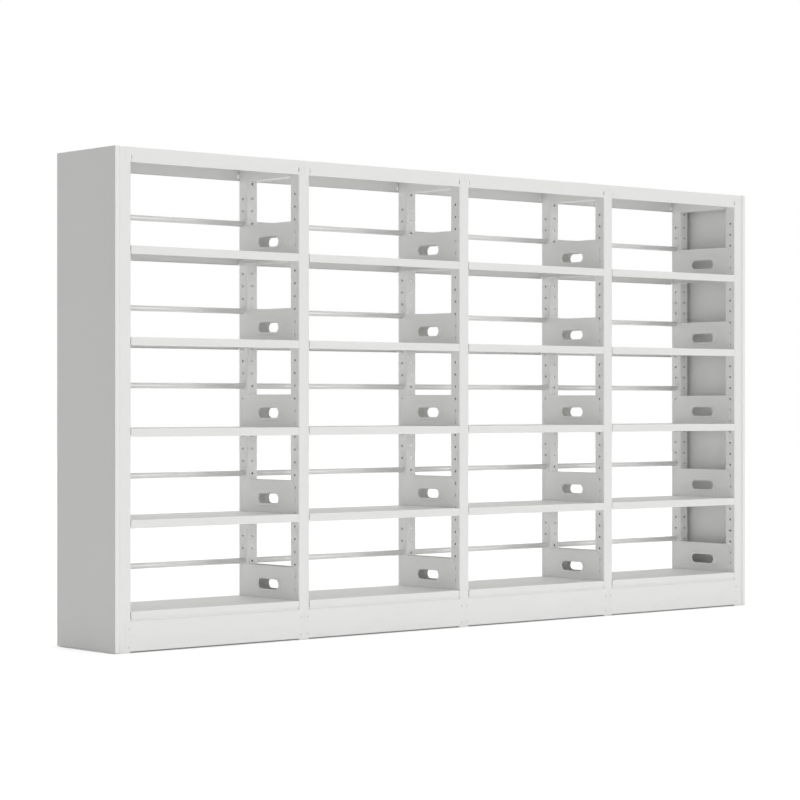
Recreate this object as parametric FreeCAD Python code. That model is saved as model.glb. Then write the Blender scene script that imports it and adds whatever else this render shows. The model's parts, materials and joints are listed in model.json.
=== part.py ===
import FreeCAD, Part
import math
import os

# Double sided library shelving in folded sheet steel: a row of bays between perforated uprights.
# Millimetres. The origin is on the floor at the middle of the footprint, +X runs along the row,
# -Y is the front, +Y is the rear and +Z is up.

# Overall sizes
bay_count = 4
bay_pitch = 900.0          # from one upright's centre line to the next
overall_depth = 420.0      # over the faces of the kick plates and top covers
overall_height = 2000.0    # to the top of the end panels

# Sheet and clearances
sheet = 1.2                # all folded sheet
bend_radius = 2.0          # outside of a folded corner
seat_gap = 0.2             # between a loose piece and what carries it
hang_gap = 0.3             # between a hung piece and the face that it hangs on
end_gap = 0.5              # at each end of a piece that fits between two others

# Uprights
post_width = 55.0
post_depth = 60.0
post_corner = 6.0
post_wall = 1.5
hole_width = 8.0
hole_height = 10.0
hole_pitch = 53.4
hole_line_inset = 29.0     # from the upright's outer face to its line of side holes
top_hole_drop = 140.0      # from the overall height to the highest hole
lowest_hole = 200.0        # no hole is lower than this
crown_hole_rise = 64.0     # from the highest hole to one more in a rear upright's inner face

# Feet
foot_height = 4.0
foot_spigot = 10.0

# Cross ties between a front and a rear upright
tie_wall = 1.5
tie_corner = 3.0
top_tie_show = 4.0         # how far the top tie reaches below the header
low_tie_bottom = 30.0
low_tie_height = 60.0

# Top covers
cover_drop = 2.0           # from the top of the end panels down to the covers
cover_flange = 60.0
cover_hem = 8.0
cover_slot_width = 5.0
cover_slot_height = 18.0
cover_slot_inset = 30.0    # from the cover's end to the slot
cover_slot_rise = 19.0     # from the flange's lower edge to the slot's middle

# Shelves
level_count = 4            # adjustable shelves in a bay, above the base shelf
base_shelf_top = 162.0
base_lip = 27.0
shelf_lip = 33.0
shelf_side_lip = 26.0
shelf_hem = 12.0

# Side boards
board_rise = 137.0         # above the shelf
board_corner = 30.0
board_flange = 18.0
board_flange_inset = 12.0
hand_hole_length = 138.0
hand_hole_height = 42.0
hand_hole_rise = 59.0      # from the shelf to the middle of the hole
ring_length = 190.0
ring_height = 68.0
ring_depth = 1.0

# Hooks that go through a side hole and drop behind its wall
hook_height = 6.0
hook_reach = 6.0           # into the upright
hook_nose = 3.5            # below the hole's lower end
hook_gap = 0.3

# Stop rods
rod_diameter = 24.5
rod_wall = 1.2
plug_flange = 2.5
plug_body = 18.0
plug_stub_reach = 8.0      # past the upright's face
plug_fit = 0.1             # between the plug and the inside of the rod
stub_gap = 0.5             # between the plug's stub and the hole

# Kick plates
kick_bottom = 5.0
kick_top = 125.0
kick_step = 6.0
kick_ledge = 15.0
kick_hem = 12.0

# Kick plate screws
screw_inset = 17.0         # from the plate's end
screw_from_bottom = 18.0
screw_from_top = 31.0
screw_diameter = 4.8
screw_length = 12.0
screw_hole_gap = 0.2
screw_head_diameter = 10.0
screw_head_height = 2.2
screw_recess_depth = 1.2
screw_recess_length = 5.0
screw_recess_width = 1.0

# End panels
panel_thickness = 20.0
panel_floor_gap = 2.0
panel_lip = 35.0
panel_hook_first = 2       # how many holes of the row lie above a panel's highest hook
panel_hook_step = 7        # every how many holes a panel has a hook

# Sizes and places worked out from the values above
face = overall_depth / 2                      # the kick plates' and covers' outer faces
post_face = face - sheet                      # the uprights' outer faces
post_back = post_face - post_depth            # the uprights' faces towards the middle
hole_line = post_face - hole_line_inset
opening = bay_pitch - post_width              # between two uprights
inner_half = opening / 2 - end_gap            # half of a piece that fits between two uprights
row_half = bay_count * bay_pitch / 2          # from the middle to the end uprights' centre lines
span_half = (bay_pitch - end_gap) / 2         # half of a piece that meets the next on a centre line
cover_top = overall_height - cover_drop
cover_bottom = cover_top - cover_flange
post_top = cover_top - sheet
top_hole = overall_height - top_hole_drop
hole_rows = int((top_hole - lowest_hole) / hole_pitch) + 1
hole_heights = [top_hole - row * hole_pitch for row in range(hole_rows)]
crown_hole = top_hole + crown_hole_rise
shelf_pitch = (cover_bottom - base_shelf_top + shelf_lip) / (level_count + 1)
shelf_tops = [base_shelf_top + level * shelf_pitch for level in range(level_count + 1)]
board_face = hang_gap + sheet                 # from the upright's side to the board's face
tray_half = opening / 2 - board_face - ring_depth - end_gap
rod_stand_off = board_face + end_gap          # from the upright's side to the rod's plug
screw_heights = [kick_bottom + screw_from_bottom, kick_top - screw_from_top]

X = FreeCAD.Vector(1, 0, 0)
Y = FreeCAD.Vector(0, 1, 0)
Z = FreeCAD.Vector(0, 0, 1)
ORIGIN = FreeCAD.Vector(0, 0, 0)
TOLERANCE = 1e-6


def block(x0, x1, y0, y1, z0, z1):
    """A rectangular block between two corners."""
    return Part.makeBox(x1 - x0, y1 - y0, z1 - z0, FreeCAD.Vector(x0, y0, z0))


def edges_along(shape, axis, keep=None):
    """The straight edges of a block that lie along an axis; keep takes an edge's middle and picks."""
    chosen = []
    for edge in shape.Edges:
        start, end = (vertex.Point for vertex in edge.Vertexes)
        middle = (start + end) * 0.5
        along = (end - start).cross(axis).Length < TOLERANCE
        if along and (keep is None or keep(middle)):
            chosen.append(edge)
    return chosen


def slot(start, along, long_size, short_size, through):
    """A round ended prism: its long side lies along one axis, and it runs from start by through."""
    radius = short_size / 2
    side = FreeCAD.Vector(through).cross(along).normalize() * radius
    reach = along * (long_size / 2 - radius)
    nose = along * (long_size / 2)
    outline = [
        Part.LineSegment(start - reach + side, start + reach + side).toShape(),
        Part.Arc(start + reach + side, start + nose, start + reach - side).toShape(),
        Part.LineSegment(start + reach - side, start - reach - side).toShape(),
        Part.Arc(start - reach - side, start - nose, start - reach + side).toShape(),
    ]
    return Part.Face(Part.Wire(outline)).extrude(through)


def at(shape, x=0.0):
    """A copy of a shape, moved along the row."""
    moved = shape.copy()
    moved.translate(X * x)
    return moved


def turned_round(shape, normal):
    """A mirrored copy of a shape, on the plane through the origin with this normal."""
    return shape.mirror(ORIGIN, normal)


def column(width, depth, corner, bottom, top):
    """An upright block with round corners, on the front upright's centre line."""
    middle = (post_back + post_face) / -2
    shape = block(-width / 2, width / 2, middle - depth / 2, middle + depth / 2, bottom, top)
    return shape.makeFillet(corner, edges_along(shape, Z))


def screw_hole(x, height):
    """The hole of a kick plate screw, through the plate and the upright's wall."""
    radius = screw_diameter / 2 + screw_hole_gap
    start = FreeCAD.Vector(x, -face - sheet, height)
    return Part.makeCylinder(radius, screw_length, start, Y)


def upright(plate_sides, inner_holes):
    """An upright at x = 0, as a front one: hook holes in both sides, holes at these heights in the
    inner face, and screw holes on the sides where a kick plate reaches it."""
    shell = column(post_width, post_depth, post_corner, foot_height, post_top)
    bore = column(
        post_width - 2 * post_wall,
        post_depth - 2 * post_wall,
        post_corner - post_wall,
        foot_height,
        post_top - post_wall,
    )
    cuts = [bore]
    for height in hole_heights:
        side_start = FreeCAD.Vector(-post_width, -hole_line, height)
        cuts.append(slot(side_start, Z, hole_height, hole_width, X * (2 * post_width)))
    for height in inner_holes:
        inner_start = FreeCAD.Vector(0, -post_back - 2 * post_wall, height)
        cuts.append(slot(inner_start, Z, hole_height, hole_width, Y * (3 * post_wall)))
    for side in plate_sides:
        cuts += [screw_hole(side * screw_inset, height) for height in screw_heights]
    return shell.cut(cuts)


def foot_pad():
    """A plastic foot under a front upright at x = 0, with a spigot inside the tube."""
    plate = column(post_width, post_depth, post_corner, 0, foot_height)
    slack = 2 * (post_wall + hang_gap)
    corner = post_corner - post_wall
    spigot = column(post_width - slack, post_depth - slack, corner, foot_height, foot_height + foot_spigot)
    return plate.fuse(spigot).removeSplitter()


def cross_tie(bottom, top):
    """A rectangular tube between the front and the rear upright at x = 0."""
    half = post_width / 2
    shell = block(-half, half, -post_back, post_back, bottom, top)
    shell = shell.makeFillet(tie_corner, edges_along(shell, Y))
    bore = block(
        -half + tie_wall, half - tie_wall, -post_back, post_back, bottom + tie_wall, top - tie_wall
    )
    return shell.cut(bore)


def hook(line, height):
    """A hook at x > 0 that goes through the hole in an upright's wall at x = 0 and drops behind it."""
    hole_bottom = height - hole_height / 2
    front = line - sheet / 2
    back = line + sheet / 2
    foot = hole_bottom + hook_gap
    tongue = block(-hook_reach - post_wall, board_face, front, back, foot, foot + hook_height)
    nose_top = foot + hook_gap
    nose_face = -post_wall - hook_gap
    nose = block(-hook_reach - post_wall, nose_face, front, back, foot - hook_nose, nose_top)
    return tongue.fuse(nose)


def hook_rows(bottom, top):
    """The hole heights whose hook lies on a straight edge between two heights."""
    lowest = bottom + hole_height / 2 + hook_nose
    highest = top - hole_height / 2
    return [height for height in hole_heights if lowest < height < highest]


def side_board(shelf_top):
    """A side board on an upright's side at x = 0, with the bay on its +X side."""
    bottom = shelf_top - shelf_side_lip - seat_gap - sheet
    top = shelf_top + board_rise
    plate = block(hang_gap, board_face, -hole_line, hole_line, bottom, top)
    plate = plate.makeFillet(board_corner, edges_along(plate, X, lambda middle: middle.z > shelf_top))
    flange_end = hole_line - board_flange_inset
    flange = block(hang_gap, hang_gap + board_flange, -flange_end, flange_end, bottom, bottom + sheet)
    height = shelf_top + hand_hole_rise
    pressed = FreeCAD.Vector(hang_gap + ring_depth, 0, height)
    back = FreeCAD.Vector(hang_gap, 0, height)
    ring = slot(pressed, Y, ring_length, ring_height, X * sheet)
    hollow = slot(back, Y, ring_length - 2 * sheet, ring_height - 2 * sheet, X * ring_depth)
    hand_hole = slot(back, Y, hand_hole_length, hand_hole_height, X * (ring_depth + 2 * sheet))
    pieces = [flange, ring]
    for height in hook_rows(bottom, top - board_corner):
        pieces += [hook(-hole_line, height), hook(hole_line, height)]
    return plate.fuse(pieces).cut([hollow, hand_hole]).removeSplitter()


def tray(top, lip):
    """A shelf tray for the bay at x = 0: its front and rear lips fill the opening's whole width."""
    bottom = top - lip
    inside = post_face - sheet
    shell = block(-inner_half, inner_half, -post_face, post_face, bottom, top)
    shell = shell.makeFillet(bend_radius, edges_along(shell, X, lambda middle: middle.z > bottom))
    cuts = [
        block(-tray_half + sheet, tray_half - sheet, -inside, inside, bottom, top - sheet),
        block(-tray_half, tray_half, -inside, inside, bottom, top - shelf_side_lip),
    ]
    hems = []
    for side in (-1, 1):
        near, far = sorted((side * tray_half, side * inner_half))
        cuts.append(block(near, far, -inside, inside, bottom, top))
        front, back = sorted((side * post_face, side * (post_face - shelf_hem)))
        hems.append(block(-tray_half, tray_half, front, back, bottom, bottom + sheet))
    return shell.cut(cuts).fuse(hems).removeSplitter()


def top_cover():
    """The cover of the bay at x = 0, from the middle of one upright to the middle of the next."""
    shell = block(-span_half, span_half, -face, face, cover_bottom, cover_top)
    shell = shell.makeFillet(bend_radius, edges_along(shell, X, lambda middle: middle.z > cover_bottom))
    cuts = [block(-span_half, span_half, -post_face, post_face, cover_bottom, cover_top - sheet)]
    hems = []
    for side in (-1, 1):
        slot_x = side * (bay_pitch / 2 - cover_slot_inset)
        slot_start = FreeCAD.Vector(slot_x, -overall_depth, cover_bottom + cover_slot_rise)
        through = Y * (2 * overall_depth)
        cuts.append(slot(slot_start, Z, cover_slot_height, cover_slot_width, through))
        front, back = sorted((side * face, side * (face - cover_hem)))
        hems.append(block(-inner_half, inner_half, front, back, cover_bottom, cover_bottom + sheet))
    return shell.cut(cuts).fuse(hems).removeSplitter()


def kick_plate():
    """The front kick plate of the bay at x = 0, with a stepped ledge under the base shelf."""
    step = -face + kick_step
    ledge_top = base_shelf_top - base_lip - seat_gap
    plate = block(-span_half, span_half, -face, -post_face, kick_bottom, kick_top)
    folds = [
        block(-inner_half, inner_half, -face, -face + kick_hem, kick_bottom, kick_bottom + sheet),
        block(-inner_half, inner_half, -face, step + sheet, kick_top - sheet, kick_top),
        block(-inner_half, inner_half, step, step + sheet, kick_top - sheet, ledge_top),
        block(-inner_half, inner_half, step, step + kick_ledge, ledge_top - sheet, ledge_top),
    ]
    holes = []
    for side in (-1, 1):
        x = side * (bay_pitch / 2 - screw_inset)
        holes += [screw_hole(x, height) for height in screw_heights]
    return plate.fuse(folds).cut(holes).removeSplitter()


def kick_screw(x, height):
    """A pan head screw through the front kick plate and the upright's wall."""
    seat = FreeCAD.Vector(x, -face, height)
    head = Part.makeCylinder(screw_head_diameter / 2, screw_head_height, seat, -Y)
    rim = [edge for edge in head.Edges if edge.CenterOfMass.y < -face - screw_head_height / 2]
    head = head.makeFillet(screw_head_height / 2, [edge for edge in rim if edge.Closed])
    shank = Part.makeCylinder(screw_diameter / 2, screw_length, seat, Y)
    outside = -face - screw_head_height
    floor = outside + screw_recess_depth
    long_half = screw_recess_length / 2
    short_half = screw_recess_width / 2
    cross = [
        block(x - wide, x + wide, outside, floor, height - tall, height + tall)
        for wide, tall in ((long_half, short_half), (short_half, long_half))
    ]
    return head.fuse(shank).cut(cross)


def end_panel():
    """An end panel on the outer side of an end upright at x = 0, reaching away along +X."""
    outside = hang_gap + panel_thickness
    shell = block(hang_gap, outside, -face, face, panel_floor_gap, overall_height)
    rim = []
    for axis in (Y, Z):
        rim += edges_along(shell, axis, lambda middle: middle.x > hang_gap)
    shell = shell.makeFillet(bend_radius, rim)
    low = panel_floor_gap
    cavity = block(
        hang_gap + sheet, outside - sheet, -post_face, post_face, low + sheet, overall_height - sheet
    )
    lip_edge = face - panel_lip
    mouth = block(
        hang_gap, hang_gap + sheet, -lip_edge, lip_edge, low + panel_lip, overall_height - panel_lip
    )
    rows = hole_heights[panel_hook_first::panel_hook_step]
    hooks = [hook(side * hole_line, height) for side in (-1, 1) for height in rows]
    return shell.cut([cavity, mouth]).fuse(hooks)


def stop_rod(height):
    """The tube of a stop rod for the bay at x = 0, between its two end plugs."""
    half = opening / 2 - rod_stand_off - plug_flange
    start = FreeCAD.Vector(-half, hole_line, height)
    tube = Part.makeCylinder(rod_diameter / 2, 2 * half, start, X)
    bore = Part.makeCylinder(rod_diameter / 2 - rod_wall, 2 * half, start, X)
    return tube.cut(bore)


def rod_plug(height):
    """A stop rod's end plug beside an upright's side at x = 0, with its stub in the hole."""
    seat = FreeCAD.Vector(rod_stand_off, hole_line, height)
    flange = Part.makeCylinder(rod_diameter / 2, plug_flange, seat, X)
    body_radius = rod_diameter / 2 - rod_wall - plug_fit
    body = Part.makeCylinder(body_radius, plug_flange + plug_body, seat, X)
    stub_length = rod_stand_off + plug_stub_reach
    stub = slot(seat, Z, hole_height - 2 * stub_gap, hole_width - 2 * stub_gap, -X * stub_length)
    return flange.fuse([body, stub]).removeSplitter()


def rod_height(shelf_top):
    """The lowest hole whose plug stub passes above the side board's round corner on that shelf."""
    across = board_corner - (hole_width / 2 - stub_gap)
    corner_rise = math.sqrt(board_corner**2 - across**2)
    stub_half = hole_height / 2 - stub_gap
    clear = shelf_top + board_rise - board_corner + corner_rise + stub_half
    return min([height for height in hole_heights if height > clear], default=top_hole)


def build():
    """All nodes, by name."""
    nodes = {}
    post_xs = [index * bay_pitch - row_half for index in range(bay_count + 1)]
    bay_xs = [x + bay_pitch / 2 for x in post_xs[:-1]]

    feet = []
    ties = []
    foot = foot_pad()
    top_tie = cross_tie(cover_bottom - top_tie_show, post_top)
    low_tie = cross_tie(low_tie_bottom, low_tie_bottom + low_tie_height)
    for number, x in enumerate(post_xs, start=1):
        plate_sides = [side for side in (-1, 1) if abs(x + side * bay_pitch / 2) < row_half]
        front_post = at(upright(plate_sides, []), x)
        rear_post = at(upright(plate_sides, [crown_hole] + hole_heights), x)
        nodes[f"upright_front_{number}"] = front_post
        nodes[f"upright_rear_{number}"] = turned_round(rear_post, Y)
        feet += [at(foot, x), turned_round(at(foot, x), Y)]
        ties += [at(top_tie, x), at(low_tie, x)]
    nodes["foot_pads"] = Part.makeCompound(feet)
    nodes["cross_ties"] = Part.makeCompound(ties)

    panel = end_panel()
    panel_x = row_half + post_width / 2
    nodes["end_panel_right"] = at(panel, panel_x)
    nodes["end_panel_left"] = at(turned_round(panel, X), -panel_x)

    cover = top_cover()
    front_kick = kick_plate()
    boards = [side_board(top) for top in shelf_tops]
    rods = [stop_rod(rod_height(top)) for top in shelf_tops]
    plugs = [rod_plug(rod_height(top)) for top in shelf_tops]
    all_plugs = []
    screws = []
    for number, x in enumerate(bay_xs, start=1):
        left_face = x - opening / 2
        right_face = x + opening / 2
        nodes[f"top_cover_bay{number}"] = at(cover, x)
        nodes[f"kick_plate_front_bay{number}"] = at(front_kick, x)
        nodes[f"kick_plate_rear_bay{number}"] = turned_round(at(front_kick, x), Y)
        nodes[f"base_shelf_bay{number}"] = at(tray(base_shelf_top, base_lip), x)
        for level, top in enumerate(shelf_tops[1:], start=1):
            nodes[f"shelf_bay{number}_level{level}"] = at(tray(top, shelf_lip), x)
        left_boards = [at(board, left_face) for board in boards]
        right_boards = [at(turned_round(board, X), right_face) for board in boards]
        nodes[f"side_boards_left_bay{number}"] = Part.makeCompound(left_boards)
        nodes[f"side_boards_right_bay{number}"] = Part.makeCompound(right_boards)
        nodes[f"stop_rods_bay{number}"] = Part.makeCompound([at(rod, x) for rod in rods])
        all_plugs += [at(plug, left_face) for plug in plugs]
        all_plugs += [at(turned_round(plug, X), right_face) for plug in plugs]
        for side in (-1, 1):
            screw_x = x + side * (bay_pitch / 2 - screw_inset)
            for height in screw_heights:
                screw = kick_screw(screw_x, height)
                screws += [screw, turned_round(screw, Y)]
    nodes["rod_end_plugs"] = Part.makeCompound(all_plugs)
    nodes["kick_plate_screws"] = Part.makeCompound(screws)
    return nodes


os.makedirs("parts", exist_ok=True)
for name, shape in build().items():
    shape.exportStep(f"parts/{name}.step")
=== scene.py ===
import json
import math

import bmesh
import bpy
from bpy.props import FloatProperty, FloatVectorProperty, IntProperty, PointerProperty
from mathutils import Matrix, Vector


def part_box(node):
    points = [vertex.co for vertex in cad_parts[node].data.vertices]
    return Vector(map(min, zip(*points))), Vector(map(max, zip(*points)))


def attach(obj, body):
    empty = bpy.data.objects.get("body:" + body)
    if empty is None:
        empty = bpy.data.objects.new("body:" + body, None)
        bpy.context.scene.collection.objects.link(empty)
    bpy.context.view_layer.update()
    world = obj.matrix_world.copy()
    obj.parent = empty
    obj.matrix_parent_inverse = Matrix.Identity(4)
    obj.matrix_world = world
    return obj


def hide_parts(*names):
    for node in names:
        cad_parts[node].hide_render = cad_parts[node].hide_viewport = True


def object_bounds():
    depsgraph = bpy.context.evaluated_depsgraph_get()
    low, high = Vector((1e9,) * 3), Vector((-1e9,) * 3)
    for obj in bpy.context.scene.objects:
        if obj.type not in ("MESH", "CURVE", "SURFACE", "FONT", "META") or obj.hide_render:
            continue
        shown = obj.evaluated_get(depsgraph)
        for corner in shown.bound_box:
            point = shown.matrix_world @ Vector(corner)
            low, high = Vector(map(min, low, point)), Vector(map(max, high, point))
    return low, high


bl_info = {
    "name": "Double Sided Library Shelving",
    "version": (1, 0, 0),
    "blender": (4, 5, 0),
    "location": "3D View > Sidebar > Shelving",
    "description": "Dresses the frame of a double sided library shelving row in painted folded sheet",
    "category": "Add Mesh",
}

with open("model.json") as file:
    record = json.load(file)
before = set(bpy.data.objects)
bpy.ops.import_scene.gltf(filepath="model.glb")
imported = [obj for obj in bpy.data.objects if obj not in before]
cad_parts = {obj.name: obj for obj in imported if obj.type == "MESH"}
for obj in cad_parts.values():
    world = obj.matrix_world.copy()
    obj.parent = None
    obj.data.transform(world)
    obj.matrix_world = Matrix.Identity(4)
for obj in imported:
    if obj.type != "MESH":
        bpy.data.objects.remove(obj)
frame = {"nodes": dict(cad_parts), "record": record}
NODES = frame["nodes"]
RECORD = frame["record"]
BODY_OF = {node: body for body, group in RECORD["behaviour"]["bodies"].items() for node in group}
SLOT_OF = {part["node"]: part["material_slot"] for part in RECORD["subparts"]}
BAY_COUNT = sum(node.startswith("top_cover_bay") for node in NODES)
CAD_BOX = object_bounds()

X, Y, Z = range(3)
LEFT, RIGHT = Vector((-1, 0, 0)), Vector((1, 0, 0))
FRONT, REAR = Vector((0, -1, 0)), Vector((0, 1, 0))
DOWN, UP = Vector((0, 0, -1)), Vector((0, 0, 1))
QUARTER = math.pi / 2
TINY = 1e-6
SAME_WAY = 0.999  # two directions are the same from this cosine on
TO_MM = 3  # digits that round metres to millimetres
HARD_EDGE = math.radians(40)
# How a slot is turned in a face: it stands or lies, and the face is across X or across Y.
STANDS_ACROSS_X = Matrix.Rotation(QUARTER, 4, "Y")
STANDS_ACROSS_Y = Matrix.Rotation(QUARTER, 4, "Z") @ STANDS_ACROSS_X
LIES_ACROSS_X = STANDS_ACROSS_X @ Matrix.Rotation(QUARTER, 4, "Z")
WHITE = (0.89, 0.89, 0.877)
FULL_WHITE = (1.0, 1.0, 1.0)
# An end panel's outer face takes a darker paint that is painted shade, and its inside and edges a lighter
# paint that is painted light.
OUTER_SHADE_SLOT, INNER_LIGHT_SLOT = 0, 1  # an end panel's material slots
SLOPE_SHARES = (0.0, 0.3, 0.7, 1.0)  # how far along the pressed ring's slope its facets meet


# ---- settings


def length(name, description, default):
    """A size in metres."""
    return FloatProperty(
        name=name, description=description, default=default, min=0.0, unit="LENGTH", precision=4
    )


def amount(name, description, default):
    """A share from 0 to 1."""
    return FloatProperty(
        name=name, description=description, default=default, min=0.0, max=1.0, subtype="FACTOR"
    )


def turned_by(name, description, default):
    """An angle, its default in degrees."""
    angle = math.radians(default)
    return FloatProperty(name=name, description=description, default=angle, subtype="ANGLE")


def level(name, description, default):
    """A strength of light."""
    return FloatProperty(name=name, description=description, default=default, min=0.0)


def count(name, description, default, least=1):
    """A whole number."""
    return IntProperty(name=name, description=description, default=default, min=least)


def colour(name, description, default):
    """A linear colour."""
    return FloatVectorProperty(
        name=name, description=description, default=default, subtype="COLOR", size=3, min=0.0, max=1.0
    )


class SheetSettings(bpy.types.PropertyGroup):
    thickness: length("Thickness", "Thickness of the folded sheet", 0.0012)
    bend: length("Bend radius", "Outside radius of a fold", 0.002)
    bend_steps: count("Bend steps", "Facets in a quarter turn", 4)
    edge_round: length("Edge rounding", "Radius that the paint gives a cut edge", 0.0003)
    edge_steps: count("Edge steps", "Facets of a rounded edge", 2)


class TraySettings(bpy.types.PropertyGroup):
    ear: length("Ear", "How far a lip reaches past the tray at each end", 0.0025)
    side_lip: length("Side lip", "Height of the lips at the tray's ends", 0.026)
    hem: length("Hem", "Width of the fold under the front and rear lips", 0.012)
    relief: length("Corner relief", "Gap between two lips at a corner", 0.003)


class KickSettings(bpy.types.PropertyGroup):
    overlap: length("Overlap", "How far the plate reaches over an upright", 0.02775)
    hem: length("Hem", "Width of the fold along the bottom", 0.012)
    rise: length("Rise", "Height of the plate's face", 0.12)
    step: length("Step", "How far the ledge stands back from the face", 0.006)
    ledge: length("Ledge", "Depth of the ledge, from its own front", 0.015)


class BoardSettings(bpy.types.PropertyGroup):
    upright_gap: length("Upright gap", "Gap between the board and the upright's side", 0.0003)
    corner: length("Corner radius", "Radius of the upper corners", 0.03)
    corner_steps: count("Corner steps", "Facets of an upper corner", 8, least=2)
    flange: length("Flange", "Width of the flange under the shelf", 0.018)
    flange_inset: length("Flange inset", "How far the flange stays back from the board's ends", 0.012)
    lip_gap: length("Lip gap", "Gap between the shelf's side lip and the flange", 0.0002)
    rise: length("Rise", "Height of the board above its shelf", 0.137)
    hand_length: length("Hand hole length", "Length of the hand hole", 0.138)
    hand_height: length("Hand hole height", "Height of the hand hole", 0.042)
    hand_rise: length("Hand hole rise", "From the shelf to the middle of the hand hole", 0.059)
    ring_length: length("Ring length", "Length of the pressed ring round the hand hole", 0.19)
    ring_height: length("Ring height", "Height of the pressed ring", 0.068)
    ring_depth: length("Ring depth", "How far the ring stands proud", 0.0014)
    ring_slope: length("Ring slope", "Width of the ring's slope", 0.0045)
    hand_roll: length("Hand hole roll", "Radius that the hand hole's rim is rolled back to", 0.0028)
    rim_steps: count("Rim steps", "Facets of the rim's roll", 3)
    ring_facets: count("Ring facets", "Facets round the hand hole", 36, least=12)


class UprightSettings(bpy.types.PropertyGroup):
    corner: length("Corner radius", "Outside radius of the tube's corners", 0.006)
    corner_steps: count("Corner steps", "Facets of a corner", 5)
    wall: length("Wall", "Wall of the tube", 0.0015)
    hole_width: length("Hole width", "Width of a hook hole", 0.008)
    hole_height: length("Hole height", "Height of a hook hole", 0.010)
    hole_pitch: length("Hole pitch", "Height from one hook hole to the next", 0.0534)
    hole_line: length("Hole line", "From the upright's outer face to its side holes", 0.029)
    hole_segments: count("Hole facets", "Facets of a hole's outline", 12, least=8)
    top_hole_drop: length("Top hole drop", "From the top of the row to the highest hook hole", 0.14)
    crown_hole_rise: length("Crown hole rise", "From the highest hook hole to the crown hole", 0.064)
    lowest_hole: length("Lowest hole", "No hook hole is lower than this", 0.2)
    edge_round: length("Hole edge rounding", "Radius of a hole's edge", 0.0003)


class CoverSettings(bpy.types.PropertyGroup):
    overlap: length("Overlap", "How far the cover reaches over an upright", 0.02775)
    hem: length("Hem", "Width of the fold under a flange", 0.008)
    slot_width: length("Slot width", "Width of the slots in the flanges", 0.005)
    slot_height: length("Slot height", "Height of the slots in the flanges", 0.018)
    slot_inset: length("Slot inset", "From the cover's end to a slot", 0.02975)
    slot_rise: length("Slot rise", "From the flange's lower edge to the middle of a slot", 0.019)
    slot_segments: count("Slot facets", "Facets of a slot's outline", 12, least=8)


class PanelSettings(bpy.types.PropertyGroup):
    thickness: length("Thickness", "Depth of the folded end panel", 0.02)
    lip: length("Lip", "Width of the lips against the uprights", 0.035)
    hook_first: count("First hook", "Hook holes above the highest hook", 2, least=0)
    hook_step: count("Hook step", "Hook holes from one hook to the next", 7)


class HookSettings(bpy.types.PropertyGroup):
    height: length("Hook height", "Height of a hook's tongue", 0.006)
    nose: length("Hook nose", "How far a hook drops behind the upright's wall", 0.0035)
    reach: length("Hook reach", "How far a hook reaches behind the upright's wall", 0.006)
    gap: length("Hook gap", "Gap between a hook and the upright's wall", 0.0003)


class RodSettings(bpy.types.PropertyGroup):
    wall: length("Wall", "Wall of the tube", 0.0012)
    facets: count("Facets", "Facets round a rod", 32, least=12)
    collar: length("Collar", "Length of the plug outside the tube", 0.0025)
    collar_round: length("Collar rounding", "Radius of the collar's edge", 0.0009)
    body_fit: length("Body fit", "Gap between the plug and the inside of the tube", 0.0001)
    stub: length("Stub", "Length of the plug's stub", 0.01)
    stub_gap: length("Stub gap", "Gap between the stub and the hole", 0.0005)


class FinishSettings(bpy.types.PropertyGroup):
    frame_paint: colour("Frame paint", "Uprights, ties, top covers and kick plates", WHITE)
    # Darker than the frame's paint: painted shade on the end panels' outer faces.
    panel_paint: colour("Panel paint", "Outer faces of the end panels", (0.75, 0.75, 0.738))
    shelf_paint: colour("Shelf paint", "Shelves", WHITE)
    # Lighter than the frame's paint: painted light standing in for light bounced between the white parts
    # inside the bays, on the side boards and on the end panels' insides and edges.
    board_paint: colour("Board paint", "Side boards, end panels' inside and edges", (0.915, 0.916, 0.898))
    # Lighter still: painted light standing in for the front light that the shelves above shade off the
    # rods.
    rod_paint: colour("Rod paint", "Stop rods", (0.96, 0.96, 0.955))
    screw_paint: colour("Screw paint", "Screws of the kick plates", (0.84, 0.84, 0.83))
    plastic: colour("Plastic", "Rod ends and foot pads", (0.93, 0.93, 0.92))
    bare_steel: colour("Bare steel", "Where the paint is chipped off a screw", (0.46, 0.46, 0.45))
    dust_colour: colour("Dust", "Dust on what faces up", (0.62, 0.6, 0.56))
    dust: amount("Dust amount", "How much of the dust's colour shows where it lies", 0.1)
    dust_patch: length("Dust patch", "Size of the patches where dust lies thicker", 0.16)
    dust_grit: length("Dust grit", "Size of the dust's grit", 0.004)
    scuff: amount("Scuff amount", "How much darker the scuffs near the floor are", 0.05)
    scuff_size: length("Scuff size", "Height of a scuff", 0.02)
    scuff_full: length("Scuffs full", "Up to this height the scuffs are at their strongest", 0.02)
    scuff_end: length("Scuffs end", "From this height on there are no scuffs", 0.13)
    rub: amount("Rub amount", "How much of the rubbed lines' colour shows on the shelves", 0.3)
    rub_line: length("Rub line", "Width of a line that books have rubbed", 0.003)
    rub_patch: length("Rub patch", "Size of the patches where the lines show", 0.12)
    chip: length("Chip size", "Size of the chips in the screws' paint", 0.0016)
    cloud: length("Cloud size", "Size of the paint's uneven patches", 0.35)
    peel: length("Orange peel size", "Size of the paint's orange peel", 0.0023)
    peel_depth: length("Orange peel depth", "Depth of the paint's orange peel", 0.00002)
    sway: length("Sway size", "Size of the rolled sheet's gentle waves", 0.11)
    sway_depth: length("Sway depth", "Depth of the rolled sheet's gentle waves", 0.00025)
    drawn_line: length("Drawn line", "Width of the lines along a drawn tube", 0.0012)
    grain: length("Grain size", "Size of the moulded plastic's grain", 0.0006)
    grain_depth: length("Grain depth", "Depth of the moulded plastic's grain", 0.00002)
    plastic_cloud: length("Plastic cloud size", "Size of the moulded plastic's uneven patches", 0.015)


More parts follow.
